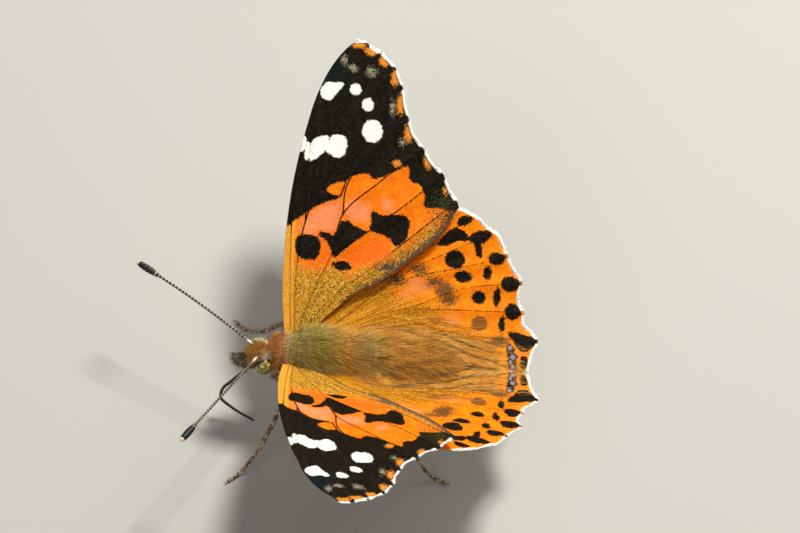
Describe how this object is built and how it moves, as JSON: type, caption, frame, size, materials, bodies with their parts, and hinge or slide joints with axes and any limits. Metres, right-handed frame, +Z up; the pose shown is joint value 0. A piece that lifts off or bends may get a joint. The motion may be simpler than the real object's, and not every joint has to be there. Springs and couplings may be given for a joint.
{
  "type": "butterfly",
  "caption": "Orange and black butterfly standing with half raised patterned wings, clubbed antennae, curved proboscis and slender legs.",
  "frame": {"origin": "on the floor, below the middle of the butterfly's box", "axes": "+Z up, the head points to -Y, the butterfly's left side is +X"},
  "size_m": [0.0578, 0.0419, 0.0259],
  "materials": {
    "hair_olive": "short dense hair, olive to golden",
    "hair_tawny": "short hair and scales, tawny",
    "wing_orange": "matt scales, orange with black and white marks",
    "eye": "glossy olive brown",
    "dark_horn": "dark brown horn"
  },
  "bodies": {
    "root": {"thorax": "hair_olive", "abdomen": "hair_tawny", "head": "hair_tawny", "eye_left": "eye", "eye_right": "eye", "antenna_left": "dark_horn", "antenna_right": "dark_horn", "palp_left": "hair_tawny", "palp_right": "hair_tawny", "proboscis": "dark_horn", "forewing_left": "wing_orange", "forewing_right": "wing_orange", "hindwing_left": "wing_orange", "hindwing_right": "wing_orange", "leg_front_left": "hair_tawny", "leg_front_right": "hair_tawny", "leg_mid_left_femur": "hair_tawny", "leg_mid_left_tibia": "dark_horn", "leg_mid_left_tarsus": "dark_horn", "leg_mid_right_femur": "hair_tawny", "leg_mid_right_tibia": "dark_horn", "leg_mid_right_tarsus": "dark_horn", "leg_hind_left_femur": "hair_tawny", "leg_hind_left_tibia": "dark_horn", "leg_hind_left_tarsus": "dark_horn", "leg_hind_right_femur": "hair_tawny", "leg_hind_right_tibia": "dark_horn", "leg_hind_right_tarsus": "dark_horn"}
  },
  "joints": []
}
